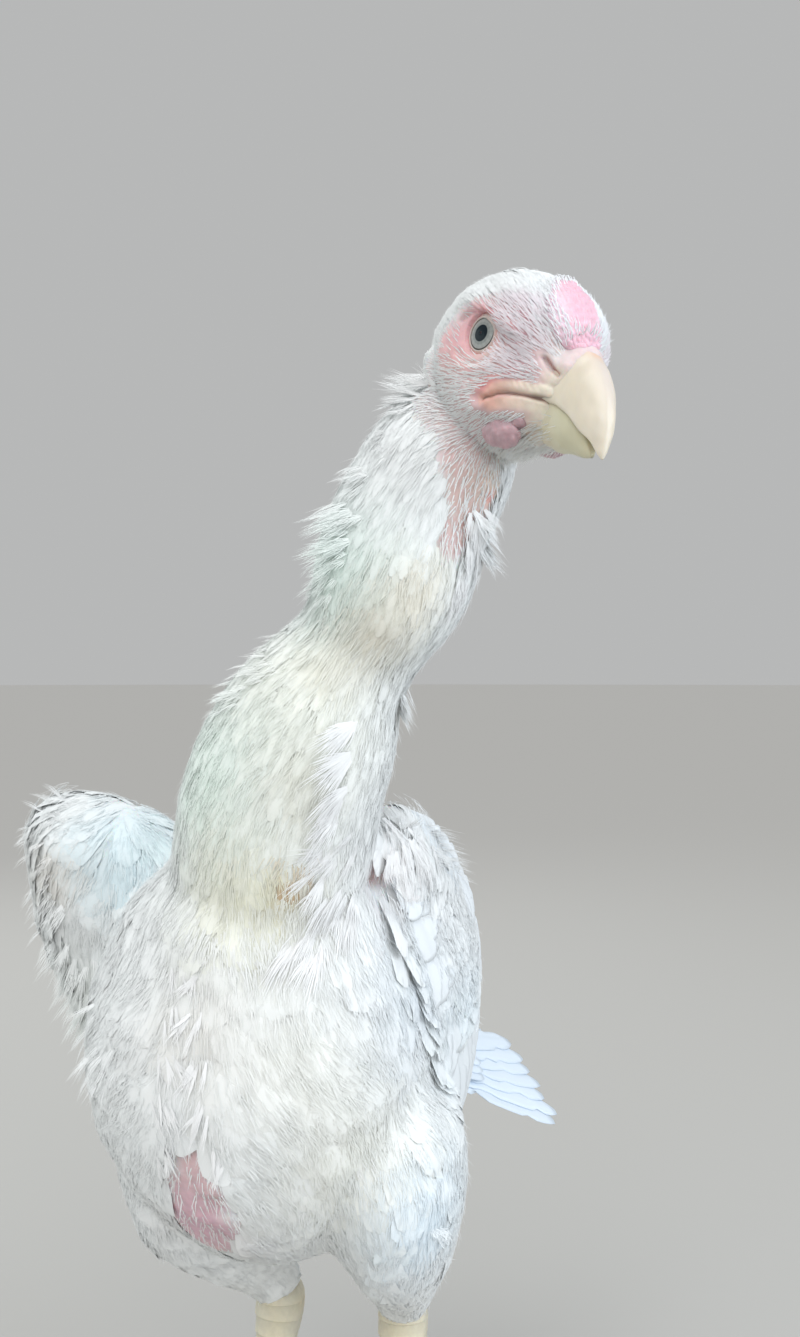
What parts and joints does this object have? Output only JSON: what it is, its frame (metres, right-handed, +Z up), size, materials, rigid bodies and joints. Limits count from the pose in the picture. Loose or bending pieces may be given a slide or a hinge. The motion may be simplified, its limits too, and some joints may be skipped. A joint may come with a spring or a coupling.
{
  "type": "shamo chick",
  "caption": "Life-size standing young game fowl with a long leaning neck, turned head, folded wings, tail and bare legs, as a still model.",
  "frame": {"origin": "on the floor, under the middle of the bounding box", "axes": "+Z up, -Y the way the breast faces, +X the bird's left side"},
  "size_m": [0.2367, 0.3059, 0.4914],
  "materials": {
    "plumage": "soft white body feathers",
    "flight_feathers": "smooth white vanes",
    "face_skin": "bare pink skin with sparse bristles",
    "comb_skin": "bare pink skin, fine bumps",
    "bill_horn": "pale horn, satin",
    "eye": "wet pearl grey iris, black pupil",
    "shank_scales": "pale yellow scales",
    "claw_horn": "pale horn, satin"
  },
  "bodies": {
    "root": {"torso": "plumage", "neck_lower": "plumage", "neck_upper": "plumage", "thigh_left": "plumage", "thigh_right": "plumage", "wing_left": "flight_feathers", "wing_right": "flight_feathers", "tail": "flight_feathers", "head": "face_skin", "comb": "comb_skin", "wattle_left": "comb_skin", "wattle_right": "comb_skin", "bill_upper": "bill_horn", "bill_lower": "bill_horn", "eye_left": "eye", "eye_right": "eye", "shank_left": "shank_scales", "shank_right": "shank_scales", "foot_left": "shank_scales", "foot_right": "shank_scales", "claw_left_inner": "claw_horn", "claw_left_middle": "claw_horn", "claw_left_outer": "claw_horn", "claw_left_hind": "claw_horn", "claw_right_inner": "claw_horn", "claw_right_middle": "claw_horn", "claw_right_outer": "claw_horn", "claw_right_hind": "claw_horn"}
  },
  "joints": []
}
